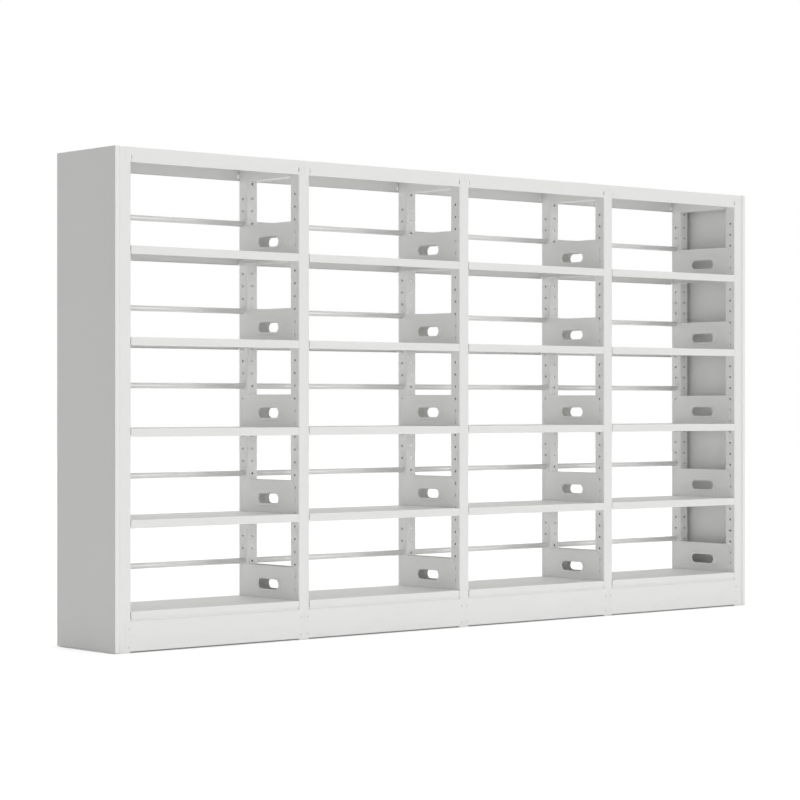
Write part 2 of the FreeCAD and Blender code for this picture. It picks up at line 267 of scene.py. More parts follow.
class StageSettings(bpy.types.PropertyGroup):
    lens: FloatProperty(name="Lens", description="Focal length in millimetres", default=112.02, min=10.0)
    sensor: FloatProperty(name="Sensor", description="Sensor width in millimetres", default=36.0, min=1.0)
    turn: turned_by("Camera turn", "Turn from the rear towards the right", 40.27)
    camera_place: FloatVectorProperty(
        name="Camera place",
        description="Where the camera stands",
        default=(-7.364, -8.346, 0.987),
        unit="LENGTH",
    )
    shift: FloatVectorProperty(name="Shift", description="Lens shift", default=(0.0214, 0.0036), size=2)
    floor_half: length("Floor half width", "From the middle of the floor to its edge", 30.0)
    floor_gap: length("Floor gap", "How far the floor lies under the feet", 0.0005)
    floor_colour: colour("Floor colour", "Colour of the floor", (0.9, 0.9, 0.9))
    floor_lift: level("Floor lift", "Light that the floor adds in view", 0.12)
    room_level: level("Room level", "Brightness of the room", 0.14)
    key_level: level("Key level", "Strength of the front light", 1.45)
    key_height: turned_by("Key height", "Angle of the front light above the floor", 11.0)
    key_angle: turned_by("Key softness", "Angle that the front light fills", 65.0)
    back_level: level("Back level", "Strength of the light behind", 1.1)
    top_level: level("Top level", "Strength of the overhead light", 2.0)
    top_angle: turned_by("Top softness", "Angle that the overhead light fills", 15.0)


class ShelvingSettings(bpy.types.PropertyGroup):
    sheet: PointerProperty(type=SheetSettings)
    tray: PointerProperty(type=TraySettings)
    kick: PointerProperty(type=KickSettings)
    board: PointerProperty(type=BoardSettings)
    upright: PointerProperty(type=UprightSettings)
    cover: PointerProperty(type=CoverSettings)
    panel: PointerProperty(type=PanelSettings)
    hook: PointerProperty(type=HookSettings)
    rod: PointerProperty(type=RodSettings)
    finish: PointerProperty(type=FinishSettings)
    stage: PointerProperty(type=StageSettings)


def settings():
    """The sizes and colours that a user may change."""
    return bpy.context.scene.shelving


# ---- finishes


# Where a pattern starts to show, and the width over which it turns full.
FACING_UP = (0.5, 0.4)  # by the rise of a face's normal
SCUFFS = (0.56, 0.1)
RUBBED_LINES = (0.55, 0.15)
RUBBED_PATCHES = (0.4, 0.2)
CHIPS = (0.62, 0.05)

# How much of the dust comes from its patches and from its grit.
PATCH_SHARE = 0.7
GRIT_SHARE = 0.5

# What a pattern adds to the roughness where it is full.
CLOUD_DULLS = 0.08
PEEL_DULLS = 0.05
DUST_DULLS = 0.14
SCUFF_DULLS = 0.1
RUBBING_DULLS = -0.08
DRAWING_DULLS = 0.1
GRAIN_DULLS = 0.12
CHIP_DULLS = -0.15

# The darkest and the lightest tint of a colour that varies, and the tint of a mark on it.
PAINT_TINTS = (0.985, 1.012)
ROD_TINTS = (0.99, 1.01)
PLASTIC_TINTS = (0.97, 1.01)
SCUFF_TINT = 0.45
RUBBED_TINT = 0.96


class Value:
    """An output of a shader tree that takes part in arithmetic."""

    def __init__(self, tree, socket):
        self.tree = tree
        self.socket = socket

    def math(self, operation, *others, **options):
        """A Math node on this value and others, in that order."""
        sockets = dict(enumerate((self, *others)))
        return self.tree.add("ShaderNodeMath", {"operation": operation, **options}, sockets)

    def above(self, edge, width):
        """A mask that turns from 0 to 1 over a width from an edge."""
        return ((self - edge) * (1 / width)).math("MULTIPLY", 1.0, use_clamp=True)

    def __add__(self, other):
        return self.math("ADD", other)

    def __mul__(self, other):
        return self.math("MULTIPLY", other)

    def __sub__(self, other):
        return self.math("SUBTRACT", other)

    def __rsub__(self, other):
        return self.tree.add("ShaderNodeMath", {"operation": "SUBTRACT"}, {0: other, 1: self})

    __radd__ = __add__
    __rmul__ = __mul__


class Tree:
    """A material's or the world's nodes; every node comes from add."""

    def __init__(self, owner):
        owner.use_nodes = True
        self.nodes = owner.node_tree.nodes
        self.links = owner.node_tree.links
        self.nodes.clear()

    def add(self, kind, options=None, sockets=None, out=0):
        """A node of this type, its options set first, then the values or links of its sockets."""
        node = self.nodes.new(kind)
        for name, option in (options or {}).items():
            setattr(node, name, option)
        for name, value in (sockets or {}).items():
            if isinstance(value, Value):
                self.links.new(value.socket, node.inputs[name])
            else:
                node.inputs[name].default_value = value
        return Value(self, node.outputs[out]) if node.outputs else None

    def place(self, stretch=(1, 1, 1)):
        """A point's place on the object, scaled along each axis."""
        place = self.add("ShaderNodeTexCoord", out="Object")
        return self.add("ShaderNodeMapping", None, {"Vector": place, "Scale": stretch})

    def part(self, vector, axis):
        """One number of a vector, along X, Y or Z."""
        return self.add("ShaderNodeSeparateXYZ", None, {"Vector": vector}, out=axis)

    def noise(self, size, detail=2.0, stretch=(1, 1, 1)):
        """Noise from 0 to 1 with bumps of this size in metres."""
        sockets = {"Vector": self.place(stretch), "Scale": 1 / size, "Detail": detail}
        return self.add("ShaderNodeTexNoise", {"noise_dimensions": "3D"}, sockets)

    def blend(self, share, first, second):
        """A mix of two colours."""
        options = {"data_type": "RGBA", "clamp_factor": True}
        return self.add("ShaderNodeMix", options, {0: share, 6: first, 7: second}, out=2)

    def relief(self, height, depth, under=None):
        """A normal for a height from 0 to 1 of this depth in metres, over another normal."""
        sockets = {"Strength": 1.0, "Distance": depth, "Height": height}
        if under is not None:
            sockets["Normal"] = under
        return self.add("ShaderNodeBump", None, sockets)

    def seen(self):
        """1 where the camera, a reflection or a view through glass looks, and 0 for light."""
        rays = ("Is Camera Ray", "Is Glossy Ray", "Is Transmission Ray")
        camera, glossy, through = (self.add("ShaderNodeLightPath", out=ray) for ray in rays)
        return camera.math("MAXIMUM", glossy).math("MAXIMUM", through)


def tinted(base, factor=1.0):
    """A colour with its alpha, lighter or darker by a factor."""
    return tuple(min(1.0, channel * factor) for channel in base) + (1.0,)


def varied(tree, share, base, tints):
    """A colour that goes from its darkest tint to its lightest."""
    darkest, lightest = tints
    return tree.blend(share, tinted(base, darkest), tinted(base, lightest))


def surface(tree, body, rough, normal, **constants):
    """Closes a material's tree; what stays the same all over is set on the shader's sockets."""
    sockets = {"Base Color": body, "Roughness": rough, "Normal": normal, "IOR": 1.5, **constants}
    shader = tree.add("ShaderNodeBsdfPrincipled", None, sockets)
    tree.add("ShaderNodeOutputMaterial", None, {"Surface": shader})


def dusted(tree, body, rough):
    """Thin dust on what faces up, thicker in patches: greyer and duller."""
    finish = settings().finish
    facing = tree.part(tree.add("ShaderNodeNewGeometry", out="Normal"), "Z").above(*FACING_UP)
    patches = tree.noise(finish.dust_patch, detail=5.0)
    grit = tree.noise(finish.dust_grit, detail=3.0)
    lies = facing * (patches * PATCH_SHARE + grit * GRIT_SHARE)
    return tree.blend(lies * finish.dust, body, tinted(finish.dust_colour)), rough + lies * DUST_DULLS


def painted(tree, base, plain):
    """Baked powder paint on folded sheet: its faintly cloudy colour, its roughness and its normal."""
    finish = settings().finish
    cloud = tree.noise(finish.cloud, detail=3.0)
    peel = tree.noise(finish.peel, detail=1.5)
    sway = tree.noise(finish.sway, detail=1.0)
    body = varied(tree, cloud, base, PAINT_TINTS)
    rough = cloud * CLOUD_DULLS + peel * PEEL_DULLS + plain
    normal = tree.relief(peel, finish.peel_depth, tree.relief(sway, finish.sway_depth))
    return body, rough, normal


def powder_coat(tree, base, plain, **constants):
    """Powder paint of what stands upright: dust on its edges, and scuffs near the floor."""
    finish = settings().finish
    body, rough, normal = painted(tree, base, plain)
    body, rough = dusted(tree, body, rough)
    height = tree.part(tree.place(), "Z")
    low = 1 - height.above(finish.scuff_full, finish.scuff_end - finish.scuff_full)
    marks = low * tree.noise(finish.scuff_size, detail=4.0, stretch=(0.25, 1, 1)).above(*SCUFFS)
    body = tree.blend(marks * finish.scuff, body, tinted(base, SCUFF_TINT))
    surface(tree, body, rough + marks * SCUFF_DULLS, normal, **constants)


def matt_powder_coat(tree, base, plain):
    """The duller powder paint of the end panels."""
    powder_coat(tree, base, plain, **{"Specular IOR Level": 0.2})


def shelf_coat(tree, base, plain):
    """Powder paint that books have rubbed: fine polished lines from front to back."""
    finish = settings().finish
    body, rough, normal = painted(tree, base, plain)
    lines = tree.noise(finish.rub_line, detail=3.0, stretch=(1, 0.02, 1)).above(*RUBBED_LINES)
    rubbed = lines * tree.noise(finish.rub_patch).above(*RUBBED_PATCHES)
    body = tree.blend(rubbed * finish.rub, body, tinted(base, RUBBED_TINT))
    body, rough = dusted(tree, body, rough + rubbed * RUBBING_DULLS)
    surface(tree, body, rough, normal)


def rod_coat(tree, base, plain):
    """Smoother paint on drawn tube: fine lines along the rod under a clear coat."""
    finish = settings().finish
    drawn = tree.noise(finish.drawn_line, stretch=(0.01, 1, 1))
    peel = tree.noise(finish.peel, detail=1.5)
    body = varied(tree, drawn, base, ROD_TINTS)
    body, rough = dusted(tree, body, drawn * DRAWING_DULLS + plain)
    normal = tree.relief((drawn + peel) * 0.5, finish.peel_depth)
    surface(tree, body, rough, normal, **{"Coat Weight": 1.0, "Coat Roughness": 0.2, "Coat IOR": 1.8})


def screw_coat(tree, base, plain):
    """Painted screws: a driver has chipped some paint off the heads."""
    finish = settings().finish
    chipped = tree.noise(finish.chip, detail=3.0).above(*CHIPS)
    body = tree.blend(chipped, tinted(base), tinted(finish.bare_steel))
    normal = tree.relief(1 - chipped, finish.peel_depth)
    surface(tree, body, chipped * CHIP_DULLS + plain, normal, Metallic=chipped)


def moulded_plastic(tree, base, plain):
    """Moulded plastic: a fine spark grain, slightly cloudy."""
    finish = settings().finish
    grain = tree.noise(finish.grain)
    body = varied(tree, tree.noise(finish.plastic_cloud), base, PLASTIC_TINTS)
    surface(tree, body, grain * GRAIN_DULLS + plain, tree.relief(grain, finish.grain_depth))


# The coat of each slot, and its roughness where no pattern shows.
COATS = {
    "frame_paint": (powder_coat, 0.35),
    "panel_paint": (matt_powder_coat, 0.43),
    "shelf_paint": (shelf_coat, 0.35),
    "board_paint": (powder_coat, 0.37),
    "rod_paint": (rod_coat, 0.25),
    "screw_paint": (screw_coat, 0.4),
    "plastic": (moulded_plastic, 0.44),
}
FINISHES = {}


def finish_of(slot):
    """The material of a slot, made once."""
    if slot not in FINISHES:
        FINISHES[slot] = bpy.data.materials.new(slot)
        coat, plain = COATS[slot]
        coat(Tree(FINISHES[slot]), getattr(settings().finish, slot), plain)
    return FINISHES[slot]


# ---- folding sheet


def plate(bm, corner, along, across):
    """A flat rectangle from one corner and two sides."""
    corners = (corner, corner + along, corner + along + across, corner + across)
    return bm.faces.new([bm.verts.new(point) for point in corners])


def everything(bm):
    """All of a mesh's elements, as the operators take them."""
    return bm.verts[:] + bm.edges[:] + bm.faces[:]


def score(bm, place, normal):
    """Cuts all faces along a plane."""
    bmesh.ops.bisect_plane(bm, geom=everything(bm), dist=TINY, plane_co=place, plane_no=normal)


def edges_on(bm, axis, value, keep=None):
    """Border edges in the plane across an axis at this value; keep picks them by their middle."""
    found = []
    for edge in bm.edges:
        first, second = (vert.co for vert in edge.verts)
        flat = max(abs(first[axis] - value), abs(second[axis] - value)) < TINY
        if edge.is_boundary and flat and (keep is None or keep((first + second) / 2)):
            found.append(edge)
    return found


def run(bm, edges, travel):
    """Carries a row of edges on, flat, and returns the row at the end."""
    made = bmesh.ops.extrude_edge_only(bm, edges=edges)["geom"]
    verts = [item for item in made if isinstance(item, bmesh.types.BMVert)]
    bmesh.ops.translate(bm, verts=verts, vec=travel)
    moved = set(verts)
    rows = [item for item in made if isinstance(item, bmesh.types.BMEdge)]
    return [edge for edge in rows if moved.issuperset(edge.verts)]


def fold(bm, edges, heading, towards, radius):
    """Bends a row of edges a quarter turn, as a press brake does, and returns the row at the end."""
    verts = list(dict.fromkeys(vert for edge in edges for vert in edge.verts))
    made = bmesh.ops.spin(
        bm,
        geom=verts + edges,
        cent=edges[0].verts[0].co + towards * radius,
        axis=heading.cross(towards),
        angle=QUARTER,
        steps=settings().sheet.bend_steps,
    )
    return [item for item in made["geom_last"] if isinstance(item, bmesh.types.BMEdge)]


def loop_of_slot(bm, centre, turn, long_size, short_size, segments):
    """A closed row of edges with straight sides and round ends, in the plane that turn gives."""
    radius = short_size / 2
    half_step = Matrix.Rotation(math.pi / segments, 4, "Z")
    circle = {"cap_ends": False, "segments": segments, "radius": radius, "matrix": half_step}
    ring = bmesh.ops.create_circle(bm, **circle)["verts"]
    for side in (-1, 1):
        half = [vert for vert in ring if vert.co.x * side > 0]
        bmesh.ops.translate(bm, verts=half, vec=(side * (long_size / 2 - radius), 0, 0))
    bmesh.ops.transform(bm, matrix=Matrix.Translation(centre) @ turn, verts=ring)
    return list(dict.fromkeys(edge for vert in ring for edge in vert.link_edges))


def punch(bm, face, rings):
    """Cuts closed rows of edges out of a flat face."""
    border = list(face.edges)
    normal = face.normal.copy()
    bmesh.ops.delete(bm, geom=[face], context="FACES_ONLY")
    edges = border + [edge for ring in rings for edge in ring]
    bmesh.ops.triangle_fill(bm, use_beauty=True, edges=edges, normal=normal)


def cuboid(bm, low, high):
    """A closed box between two corners."""
    place = Matrix.Translation((low + high) / 2) @ Matrix.Diagonal(high - low).to_4x4()
    bmesh.ops.create_cube(bm, size=1.0, matrix=place)


def rounded(bm, geom, radius, steps, affect="EDGES"):
    """Bevels edges, or a flat sheet's corners as VERTICES, to a radius."""
    settled = {"offset": radius, "segments": steps, "profile": 0.5, "material": -1}
    bmesh.ops.bevel(bm, geom=geom, affect=affect, **settled)


def turned_out(bm, outward):
    """Makes one surface's faces agree, with the largest one facing this way."""
    bmesh.ops.remove_doubles(bm, verts=bm.verts, dist=TINY)
    bmesh.ops.recalc_face_normals(bm, faces=bm.faces)
    largest = max(bm.faces, key=lambda face: face.calc_area())
    if largest.normal.dot(outward) < 0:
        bmesh.ops.reverse_faces(bm, faces=bm.faces)
    return bm


def mesh_of(name, bm):
    """Moves a shape into a new mesh."""
    mesh = bpy.data.meshes.new(name)
    bm.to_mesh(mesh)
    bm.free()
    return mesh


def joined(parts):
    """Several shapes in one."""
    whole = bmesh.new()
    for part in parts:
        mesh = mesh_of("part", part)
        whole.from_mesh(mesh)
        bpy.data.meshes.remove(mesh)
    return whole


def placed(name, data):
    """A new object in the scene."""
    item = bpy.data.objects.new(name, data)
    bpy.context.scene.collection.objects.link(item)
    return item


def new_piece(name, bm, *nodes):
    """An object that stands for these nodes, and takes its finish and its body from the first."""
    mesh = mesh_of(name, bm)
    mesh.shade_smooth()
    mesh.materials.append(finish_of(SLOT_OF[nodes[0]]))
    piece = placed(name, mesh)
    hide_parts(*nodes)
    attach(piece, BODY_OF[nodes[0]])
    return piece


def thicken(piece, thickness):
    """Gives a surface its sheet's thickness, on the inside."""
    wall = piece.modifiers.new("Wall", "SOLIDIFY")
    wall.thickness = thickness
    wall.offset = -1.0
    wall.use_even_offset = True
    return piece


def soften(piece, radius, steps):
    """Rounds the hard edges and keeps the flats flat."""
    rounding = piece.modifiers.new("Rounding", "BEVEL")
    rounding.width = radius
    rounding.segments = steps
    rounding.limit_method = "ANGLE"
    rounding.angle_limit = HARD_EDGE
    flats = piece.modifiers.new("Flats", "WEIGHTED_NORMAL")
    flats.mode = "FACE_AREA"
    return piece


def sheet_piece(name, bm, *nodes):
    """A finished piece of folded sheet."""
    sheet = settings().sheet
    piece = thicken(new_piece(name, bm, *nodes), sheet.thickness)
    return soften(piece, sheet.edge_round, sheet.edge_steps)


# ---- pieces


def tray_sheet(low, high):
    """A shelf: a plate with lips on all sides, and hems under the long ones."""
    sheet, tray = settings().sheet, settings().tray
    bend = sheet.bend
    inset = tray.ear + bend
    lip = high.z - low.z
    width = high.x - low.x - 2 * inset
    depth = high.y - low.y - 2 * bend
    bm = bmesh.new()
    plate(bm, Vector((low.x + inset, low.y + bend, high.z)), RIGHT * width, REAR * depth)
    for y in (low.y + bend + tray.relief, high.y - bend - tray.relief):
        score(bm, (0, y, 0), REAR)
    for y, outer_y, out in ((low.y + bend, low.y, FRONT), (high.y - bend, high.y, REAR)):
        row = fold(bm, edges_on(bm, Y, y), out, DOWN, bend)
        row = run(bm, row, DOWN * (lip - 2 * bend))
        for x, side in ((low.x + inset, LEFT), (high.x - inset, RIGHT)):
            run(bm, edges_on(bm, X, x, lambda middle: abs(middle.y - outer_y) < TINY), side * inset)
        row = fold(bm, row, DOWN, -out, bend)
        run(bm, row, -out * (tray.hem - bend))
    drop = min(tray.side_lip, lip - 2 * sheet.thickness)
    middle_y = (low.y + high.y) / 2
    room = depth / 2 - tray.relief
    for x, side in ((low.x + inset, LEFT), (high.x - inset, RIGHT)):
        ends = edges_on(
            bm, X, x, lambda middle: abs(middle.y - middle_y) < room and abs(middle.z - high.z) < TINY
        )
        run(bm, fold(bm, ends, side, DOWN, bend), DOWN * (drop - bend))
    return turned_out(bm, UP)


def kick_sheet(low, high, out):
    """A kick plate: a hem along the bottom and a stepped ledge along the top."""
    sheet, kick = settings().sheet, settings().kick
    bend = sheet.bend
    tight = bend - sheet.thickness
    back = -out
    face_y = low.y if out == FRONT else high.y
    left = low.x + kick.overlap
    width = high.x - low.x - 2 * kick.overlap
    bm = bmesh.new()
    plate(bm, Vector((left, face_y, low.z + bend)), RIGHT * width, UP * (kick.rise - 2 * bend))
    bottom = edges_on(bm, Z, low.z + bend)
    top = edges_on(bm, Z, low.z + kick.rise - bend)
    for x, side in ((left, LEFT), (left + width, RIGHT)):
        run(bm, edges_on(bm, X, x), side * kick.overlap)
    run(bm, fold(bm, bottom, DOWN, back, bend), back * (kick.hem - bend))
    row = run(bm, fold(bm, top, UP, back, bend), back * (kick.step - bend - tight))
    row = fold(bm, row, back, UP, tight)
    row = run(bm, row, UP * (high.z - low.z - kick.rise - tight - bend))
    run(bm, fold(bm, row, UP, back, bend), back * (kick.ledge - bend))
    return turned_out(bm, out)


def hole_heights():
    """The heights of the hook holes, from the top."""
    upright = settings().upright
    top = CAD_BOX[1].z - upright.top_hole_drop
    rows = int((top - upright.lowest_hole) / upright.hole_pitch) + 1
    return [top - row * upright.hole_pitch for row in range(rows)]


def hook_sheet(post_x, face_x, line, height):
    """A hook through a hook hole, from a sheet's face into the upright and down behind its wall."""
    upright, hook = settings().upright, settings().hook
    into_post = math.copysign(1.0, post_x - face_x)
    foot = height - upright.hole_height / 2 + hook.gap
    nose = post_x + into_post * (upright.wall + hook.gap)
    end = post_x + into_post * (upright.wall + hook.reach)
    outline = (
        (face_x, foot),
        (nose, foot),
        (nose, foot - hook.nose),
        (end, foot - hook.nose),
        (end, foot + hook.height),
        (face_x, foot + hook.height),
    )
    y = line + math.copysign(settings().sheet.thickness / 2, line)
    bm = bmesh.new()
    bm.faces.new([bm.verts.new((x, y, z)) for x, z in outline])
    return turned_out(bm, REAR if line > 0 else FRONT)


def carried(bm, ring, centre, along, sizes, new_sizes, travel):
    """Carries a closed slot-shaped row on to new sizes, length first, and returns the new row."""
    ring = run(bm, ring, travel)
    verts = dict.fromkeys(vert for edge in ring for vert in edge.verts)
    (length_then, height_then), (length_now, height_now) = sizes, new_sizes
    for side in (-along, along):
        half = [vert for vert in verts if (vert.co - centre).dot(side) > 0]
        middle = centre + travel + side * (length_then - height_then) / 2
        grown = Vector((1, 1, 1)) * height_now / height_then
        bmesh.ops.scale(bm, vec=grown, space=Matrix.Translation(-middle), verts=half)
        shift = (length_now - height_now - length_then + height_then) / 2
        bmesh.ops.translate(bm, vec=side * shift, verts=half)
    return ring


def hand_hole(bm, face, centre, out):
    """Presses a ring into a face, and cuts a hand hole with a rim rolled back into it."""
    board = settings().board
    stations = []
    for share in SLOPE_SHARES:
        inset = 2 * board.ring_slope * share
        rise = board.ring_depth * (0.5 - 0.5 * math.cos(math.pi * share))
        stations.append(((board.ring_length - inset, board.ring_height - inset), rise))
    for step in range(board.rim_steps + 1):
        angle = QUARTER * step / board.rim_steps
        open_by = 2 * board.hand_roll * (1 - math.sin(angle))
        rise = board.ring_depth - board.hand_roll * (1 - math.cos(angle))
        stations.append(((board.hand_length + open_by, board.hand_height + open_by), rise))
    size, rise = stations[0]
    ring = loop_of_slot(bm, centre, LIES_ACROSS_X, *size, board.ring_facets)
    punch(bm, face, [ring])
    for new_size, new_rise in stations[1:]:
        place = centre + out * rise
        ring = carried(bm, ring, place, REAR, size, new_size, out * (new_rise - rise))
        size, rise = new_size, new_rise


def board_face(post_x, into):
    """Where a side board's visible face stands, along X."""
    return post_x + into.x * (settings().board.upright_gap + settings().sheet.thickness)


def flange_top(shelf_top):
    """The height of a side board's flange, which carries the shelf by its side lip."""
    return shelf_top - settings().tray.side_lip - settings().board.lip_gap


def board_sheet(post_x, shelf_top, half_depth, into):
    """A side board on an upright's side, with a pressed hand hole and a flange under the shelf."""
    sheet, board = settings().sheet, settings().board
    top = shelf_top + board.rise
    tight = sheet.bend - sheet.thickness
    low_edge = flange_top(shelf_top) + tight
    face_x = board_face(post_x, into)
    bm = bmesh.new()
    foot = Vector((face_x, -half_depth, low_edge))
    flat = plate(bm, foot, REAR * 2 * half_depth, UP * (top - low_edge))
    upper = [vert for vert in flat.verts if vert.co.z > shelf_top]
    rounded(bm, upper, board.corner, board.corner_steps, "VERTICES")
    flange_half = half_depth - board.flange_inset
    for y in (-flange_half, flange_half):
        score(bm, (0, y, 0), REAR)
    middle = max(bm.faces, key=lambda face: face.calc_area())
    row = edges_on(bm, Z, low_edge, lambda point: abs(point.y) < flange_half)
    run(bm, fold(bm, row, DOWN, into, tight), into * (board.flange - sheet.bend))
    centre = Vector((face_x, 0, shelf_top + board.hand_rise))
    hand_hole(bm, middle, centre, into)
    return turned_out(bm, into)


def board_hooks(post_x, shelf_top, half_depth, into):
    """The hooks of a side board, where hook holes lie along its straight ends."""
    board = settings().board
    half_hole = settings().upright.hole_height / 2
    bottom = flange_top(shelf_top) - settings().sheet.thickness
    lowest = bottom + half_hole + settings().hook.nose
    highest = shelf_top + board.rise - board.corner - half_hole
    face_x = board_face(post_x, into)
    rows = [height for height in hole_heights() if lowest < height < highest]
    lines = (-half_depth, half_depth)
    return [hook_sheet(post_x, face_x, line, height) for line in lines for height in rows]


def cover_sheet(low, high):
    """A top cover: a plate with a hemmed, slotted flange along the front and the rear."""
    sheet, cover = settings().sheet, settings().cover
    bend = sheet.bend
    left, right = low.x + cover.overlap, high.x - cover.overlap
    drop = high.z - low.z - 2 * bend
    bm = bmesh.new()
    corner = Vector((left, low.y + bend, high.z))
    plate(bm, corner, RIGHT * (right - left), REAR * (high.y - low.y - 2 * bend))
    for y, outer_y, out in ((low.y + bend, low.y, FRONT), (high.y - bend, high.y, REAR)):
        row = run(bm, fold(bm, edges_on(bm, Y, y), out, DOWN, bend), DOWN * drop)
        flange = row[0].link_faces[0]
        slot_size = (cover.slot_height, cover.slot_width, cover.slot_segments)
        middles = [
            Vector((x, outer_y, low.z + cover.slot_rise))
            for x in (low.x + cover.slot_inset, high.x - cover.slot_inset)
        ]
        slots = [loop_of_slot(bm, middle, STANDS_ACROSS_Y, *slot_size) for middle in middles]
        hem = fold(bm, row, DOWN, -out, bend)
        run(bm, hem, -out * (cover.hem - bend))
        punch(bm, flange, slots)
    for x, side in ((left, LEFT), (right, RIGHT)):
        ends = edges_on(bm, X, x, lambda middle: middle.z > low.z + bend)
        run(bm, ends, side * cover.overlap)
    return turned_out(bm, UP)


def panel_sheet(low, high, out):
    """An end panel: a folded pan with lips that lie against the uprights; its outer face is greyer with
    painted shade, its inside and edges lighter with painted light.
    """
    sheet, panel = settings().sheet, settings().panel
    low, high = low.copy(), high.copy()
    if out == LEFT:
        high.x = low.x + panel.thickness
    else:
        low.x = high.x - panel.thickness
    bm = bmesh.new()
    cuboid(bm, low, high)
    rounded(bm, bm.edges[:], sheet.bend, sheet.bend_steps)
    mouth = [face for face in bm.faces if face.normal.dot(-out) > SAME_WAY]
    bmesh.ops.inset_region(bm, faces=mouth, thickness=panel.lip - sheet.bend, use_even_offset=True)
    bmesh.ops.delete(bm, geom=mouth, context="FACES")
    # Painted shade on the outer face, painted light on the inside and edges.
    for face in bm.faces:
        face.material_index = OUTER_SHADE_SLOT if face.normal.dot(out) > SAME_WAY else INNER_LIGHT_SLOT
    return turned_out(bm, out)


def spans(face, height):
    """Whether a face reaches from below a height to above it."""
    rises = [vert.co.z for vert in face.verts]
    return min(rises) < height < max(rises)


def upright_sheet(low, high, out):
    """An upright: a tube with hook holes in both sides, and a rear one in its inner face too."""
    upright = settings().upright
    rise, middle_x = high.z - low.z, (low.x + high.x) / 2
    bm = bmesh.new()
    cuboid(bm, low, high)
    bottom = [face for face in bm.faces if face.normal.dot(DOWN) > SAME_WAY]
    bmesh.ops.delete(bm, geom=bottom, context="FACES_ONLY")
    standing = [edge for edge in bm.edges if abs(edge.verts[0].co.z - edge.verts[1].co.z) > rise / 2]
    rounded(bm, standing, upright.corner, upright.corner_steps)
    rows = hole_heights()
    inner_rows = [rows[0] + upright.crown_hole_rise] + rows
    for above, below in zip(inner_rows, rows):
        score(bm, (0, 0, (above + below) / 2), UP)
    line = (low.y + upright.hole_line) if out == FRONT else (high.y - upright.hole_line)
    sides = ((LEFT, low.x), (RIGHT, high.x))
    punched = [(side, Vector((face_x, line, 0)), STANDS_ACROSS_X, rows) for side, face_x in sides]
    if out == REAR:
        punched.append((FRONT, Vector((middle_x, low.y, 0)), STANDS_ACROSS_Y, inner_rows))
    size_of_hole = (upright.hole_height, upright.hole_width, upright.hole_segments)
    for normal, foot, turn, heights in punched:
        wide = [face for face in bm.faces if face.normal.dot(normal) > SAME_WAY]
        for height in heights:
            cell = next(face for face in wide if face.is_valid and spans(face, height))
            punch(bm, cell, [loop_of_slot(bm, foot + UP * height, turn, *size_of_hole)])
    return turned_out(bm, out)


def solids(node):
    """The boxes of a node's separate solids, from the left and then from below."""
    bm = bmesh.new()
    bm.from_mesh(NODES[node].data)
    bmesh.ops.remove_doubles(bm, verts=bm.verts, dist=TINY)
    boxes = []
    left_over = set(bm.verts)
    while left_over:
        group = [left_over.pop()]
        for vert in group:
            near = {edge.other_vert(vert) for edge in vert.link_edges} & left_over
            left_over -= near
            group.extend(near)
        reaches = list(zip(*(vert.co for vert in group)))
        boxes.append((Vector(map(min, reaches)), Vector(map(max, reaches))))
    bm.free()
    return sorted(boxes, key=lambda box: (round(box[0].x, TO_MM), round(box[0].z, TO_MM)))


def rod_tube(low, high):
    """The tube of a stop rod."""
    bm = bmesh.new()
    radius = (high.y - low.y) / 2
    matrix = Matrix.Translation((low + high) / 2) @ Matrix.Rotation(QUARTER, 4, "Y")
    bmesh.ops.create_cone(
        bm,
        cap_ends=False,
        segments=settings().rod.facets,
        radius1=radius,
        radius2=radius,
        depth=high.x - low.x,
        matrix=matrix,
    )
    bmesh.ops.recalc_face_normals(bm, faces=bm.faces)
    return bm


def rod_plug(low, high, out):
    """A stop rod's moulded plug: a collar, a body inside the tube and a stub in the upright's hole."""
    rod, upright = settings().rod, settings().upright
    radius = (high.y - low.y) / 2
    body = radius - rod.wall - rod.body_fit
    middle = (low + high) / 2
    stub_end = low.x if out == LEFT else high.x
    seat = Vector((stub_end, middle.y, middle.z)) - out * rod.stub
    soft = rod.collar_round
    knee = 0.3 * soft  # the middle of the rounding, in from both faces
    outline = (
        (0.0, 0.0),
        (0.0, radius - soft),
        (knee, radius - knee),
        (soft, radius),
        (rod.collar, radius),
        (rod.collar, body),
        (high.x - low.x - rod.stub, body),
        (high.x - low.x - rod.stub, 0.0),
    )
    bm = bmesh.new()
    chain = [bm.verts.new(seat - out * along + UP * off) for along, off in outline]
    rows = [bm.edges.new(pair) for pair in zip(chain, chain[1:])]
    whole_turn = {"cent": seat, "axis": RIGHT, "angle": 2 * math.pi, "steps": rod.facets, "use_merge": True}
    bmesh.ops.spin(bm, geom=chain + rows, **whole_turn)
    bmesh.ops.remove_doubles(bm, verts=bm.verts, dist=TINY)
    height, width = upright.hole_height - 2 * rod.stub_gap, upright.hole_width - 2 * rod.stub_gap
    ring = loop_of_slot(bm, seat, STANDS_ACROSS_X, height, width, upright.hole_segments)
    bmesh.ops.contextual_create(bm, geom=run(bm, ring, out * rod.stub))
    bmesh.ops.recalc_face_normals(bm, faces=bm.faces)
    return bm


# ---- operators


class SHELVING_OT_shelves(bpy.types.Operator):
    """Makes the base shelves and the lift-off shelves"""

    bl_idname = "shelving.shelves"
    bl_label = "Shelves"

    def execute(self, context):
        for node in NODES:
            if node.startswith(("shelf_bay", "base_shelf")):
                sheet_piece(f"{node}_tray", tray_sheet(*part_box(node)), node)
        return {"FINISHED"}


class SHELVING_OT_kick_plates(bpy.types.Operator):
    """Makes the kick plates along the front and the rear"""

    bl_idname = "shelving.kick_plates"
    bl_label = "Kick plates"

    def execute(self, context):
        for node in NODES:
            if node.startswith("kick_plate_") and node != "kick_plate_screws":
                out = FRONT if "front" in node else REAR
                sheet_piece(f"{node}_sheet", kick_sheet(*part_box(node), out), node)
        return {"FINISHED"}


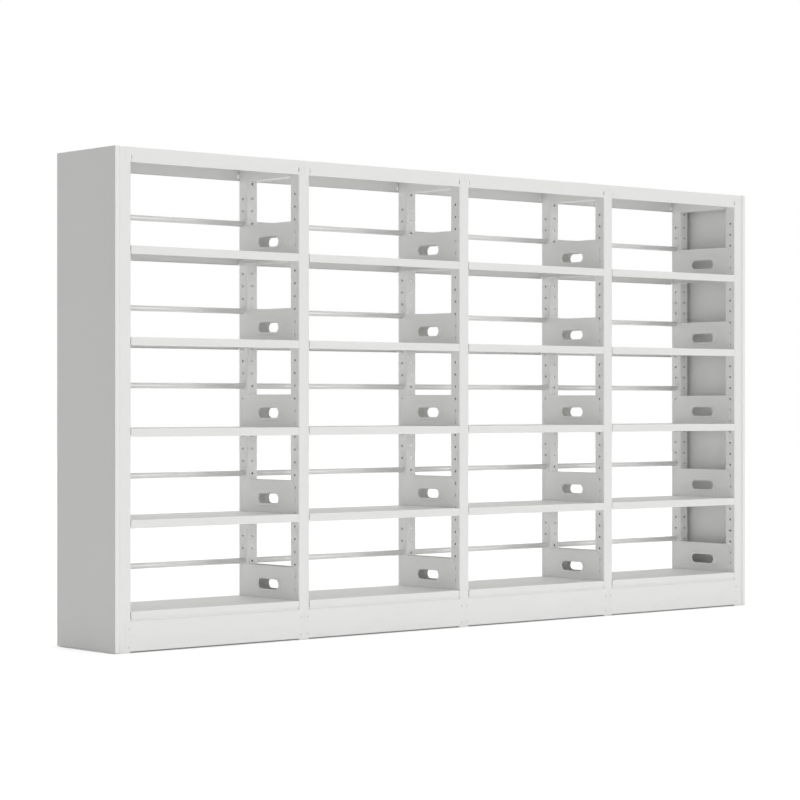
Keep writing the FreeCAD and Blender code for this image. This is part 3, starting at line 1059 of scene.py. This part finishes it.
class SHELVING_OT_side_boards(bpy.types.Operator):
    """Makes the side boards with their hand holes and hooks"""

    bl_idname = "shelving.side_boards"
    bl_label = "Side boards"

    def execute(self, context):
        sizes = settings()
        for bay in range(1, BAY_COUNT + 1):
            tops = [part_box(f"base_shelf_bay{bay}")[1].z]
            tops += [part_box(node)[1].z for node in sorted(NODES) if node.startswith(f"shelf_bay{bay}_")]
            for side, into, number in (("left", RIGHT, bay), ("right", LEFT, bay + 1)):
                node = f"side_boards_{side}_bay{bay}"
                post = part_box(f"upright_front_{number}")
                post_x = post[1].x if into == RIGHT else post[0].x
                half_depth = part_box(node)[1].y - sizes.sheet.thickness / 2
                parts = [board_sheet(post_x, top, half_depth, into) for top in tops]
                for top in tops:
                    parts += board_hooks(post_x, top, half_depth, into)
                sheet_piece(f"{node}_sheets", joined(parts), node)
        return {"FINISHED"}


class SHELVING_OT_top_covers(bpy.types.Operator):
    """Makes the top covers"""

    bl_idname = "shelving.top_covers"
    bl_label = "Top covers"

    def execute(self, context):
        for bay in range(1, BAY_COUNT + 1):
            node = f"top_cover_bay{bay}"
            sheet_piece(f"{node}_sheet", cover_sheet(*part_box(node)), node)
        return {"FINISHED"}


class SHELVING_OT_end_panels(bpy.types.Operator):
    """Makes the end panels"""

    bl_idname = "shelving.end_panels"
    bl_label = "End panels"

    def execute(self, context):
        sizes = settings()
        rows = hole_heights()[sizes.panel.hook_first :: sizes.panel.hook_step]
        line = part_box("side_boards_left_bay1")[1].y - sizes.sheet.thickness / 2
        for side, out, number in (("left", LEFT, 1), ("right", RIGHT, BAY_COUNT + 1)):
            node = f"end_panel_{side}"
            low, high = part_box(node)
            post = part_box(f"upright_front_{number}")
            post_x = post[0].x if out == LEFT else post[1].x
            face_x = low.x + sizes.panel.thickness if out == LEFT else high.x - sizes.panel.thickness
            parts = [panel_sheet(low, high, out)]
            parts += [hook_sheet(post_x, face_x, y, height) for y in (-line, line) for height in rows]
            piece = sheet_piece(f"{node}_sheet", joined(parts), node)
            # The inside and edges take the side boards' lighter paint: painted light.
            piece.data.materials.append(finish_of("board_paint"))
            piece.modifiers["Wall"].material_offset = INNER_LIGHT_SLOT
        return {"FINISHED"}


class SHELVING_OT_uprights(bpy.types.Operator):
    """Makes the perforated uprights"""

    bl_idname = "shelving.uprights"
    bl_label = "Uprights"

    def execute(self, context):
        sizes = settings()
        for node in NODES:
            if node.startswith("upright_"):
                out = FRONT if "front" in node else REAR
                piece = new_piece(f"{node}_tube", upright_sheet(*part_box(node), out), node)
                soften(thicken(piece, sizes.upright.wall), sizes.upright.edge_round, 1)
        return {"FINISHED"}


class SHELVING_OT_stop_rods(bpy.types.Operator):
    """Makes the stop rods and their end plugs"""

    bl_idname = "shelving.stop_rods"
    bl_label = "Stop rods"

    def execute(self, context):
        sizes = settings()
        for bay in range(1, BAY_COUNT + 1):
            node = f"stop_rods_bay{bay}"
            piece = new_piece(f"{node}_tubes", joined([rod_tube(*box) for box in solids(node)]), node)
            thicken(piece, sizes.rod.wall)
        plugs = solids("rod_end_plugs")
        row = len(plugs) // (2 * BAY_COUNT)
        parts = [rod_plug(*box, RIGHT if index // row % 2 else LEFT) for index, box in enumerate(plugs)]
        piece = new_piece("rod_end_plugs_moulded", joined(parts), "rod_end_plugs")
        soften(piece, sizes.sheet.edge_round, 1)
        return {"FINISHED"}


class SHELVING_OT_painted_frame(bpy.types.Operator):
    """Finishes the pieces of the frame that keep their own shape"""

    bl_idname = "shelving.painted_frame"
    bl_label = "Painted frame"

    def execute(self, context):
        for name, node in NODES.items():
            if not node.hide_render:
                node.data.materials.clear()
                node.data.materials.append(finish_of(SLOT_OF[name]))
        return {"FINISHED"}


def floor_finish(stage):
    """A pale floor that keeps the shadow and is white in view."""
    material = bpy.data.materials.new("studio_floor")
    tree = Tree(material)
    matt = tree.add("ShaderNodeBsdfDiffuse", None, {"Color": tinted(stage.floor_colour)})
    white = tree.add("ShaderNodeBsdfDiffuse", None, {"Color": tinted(FULL_WHITE)})
    lift = tree.add("ShaderNodeEmission", None, {"Strength": stage.floor_lift})
    shown = tree.add("ShaderNodeAddShader", None, {0: white, 1: lift})
    mixed = tree.add("ShaderNodeMixShader", None, {0: tree.seen(), 1: matt, 2: shown})
    tree.add("ShaderNodeOutputMaterial", None, {"Surface": mixed})
    return material


def floor(stage):
    """A wide flat floor just under the feet."""
    bm = bmesh.new()
    place = Matrix.Translation(DOWN * stage.floor_gap)
    bmesh.ops.create_grid(bm, x_segments=1, y_segments=1, size=stage.floor_half, matrix=place)
    mesh = mesh_of("studio_floor", bm)
    mesh.materials.append(floor_finish(stage))
    plane = placed("studio_floor", mesh)


def room(stage):
    """A grey room that is white in view."""
    world = bpy.data.worlds.new("studio")
    bpy.context.scene.world = world
    tree = Tree(world)
    white = tinted(FULL_WHITE)
    light = tree.add("ShaderNodeBackground", None, {"Strength": stage.room_level, "Color": white})
    backdrop = tree.add("ShaderNodeBackground", None, {"Strength": 1.0, "Color": white})
    mixed = tree.add("ShaderNodeMixShader", None, {0: tree.seen(), 1: light, 2: backdrop})
    tree.add("ShaderNodeOutputWorld", None, {"Surface": mixed})


def lamp(name, strength, height, softness, turn=0.0):
    """A distant soft light at an angle above the floor, turned round from the front."""
    sun = bpy.data.lights.new(name, "SUN")
    sun.energy = strength
    sun.angle = softness
    placed(name, sun).rotation_euler = (QUARTER - height, 0, turn)


def camera(stage):
    """The camera, level, to the left in front of the row."""
    lens = bpy.data.cameras.new("camera")
    lens.lens = stage.lens
    lens.sensor_width = stage.sensor
    lens.shift_x, lens.shift_y = stage.shift
    eye = placed("camera", lens)
    eye.location = stage.camera_place
    eye.rotation_euler = (QUARTER, 0, -stage.turn)
    bpy.context.scene.camera = eye


class SHELVING_OT_stage(bpy.types.Operator):
    """Makes the floor, the lights and the camera"""

    bl_idname = "shelving.stage"
    bl_label = "Studio"

    def execute(self, context):
        stage = settings().stage
        context.scene.view_settings.view_transform = "Standard"
        floor(stage)
        room(stage)
        lamp("key", stage.key_level, stage.key_height, stage.key_angle)
        lamp("back", stage.back_level, stage.key_height, stage.key_angle, math.pi)
        lamp("top", stage.top_level, QUARTER, stage.top_angle)
        camera(stage)
        return {"FINISHED"}


OPERATORS = (
    SHELVING_OT_shelves,
    SHELVING_OT_kick_plates,
    SHELVING_OT_side_boards,
    SHELVING_OT_top_covers,
    SHELVING_OT_end_panels,
    SHELVING_OT_uprights,
    SHELVING_OT_stop_rods,
    SHELVING_OT_painted_frame,
    SHELVING_OT_stage,
)


class SHELVING_PT_panel(bpy.types.Panel):
    """Lists the pieces of the shelving"""

    bl_label = "Library shelving"
    bl_space_type = "VIEW_3D"
    bl_region_type = "UI"
    bl_category = "Shelving"

    def draw(self, context):
        for operator in OPERATORS:
            self.layout.operator(operator.bl_idname)


SETTINGS = (
    SheetSettings,
    TraySettings,
    KickSettings,
    BoardSettings,
    UprightSettings,
    CoverSettings,
    PanelSettings,
    HookSettings,
    RodSettings,
    FinishSettings,
    StageSettings,
    ShelvingSettings,
)
CLASSES = SETTINGS + OPERATORS + (SHELVING_PT_panel,)


def register():
    for item in CLASSES:
        bpy.utils.register_class(item)
    bpy.types.Scene.shelving = PointerProperty(type=ShelvingSettings)


def unregister():
    del bpy.types.Scene.shelving
    for item in reversed(CLASSES):
        bpy.utils.unregister_class(item)


def main():
    register()
    for operator in OPERATORS:
        getattr(bpy.ops.shelving, operator.bl_idname.split(".")[1])()


if __name__ == "__main__":
    main()
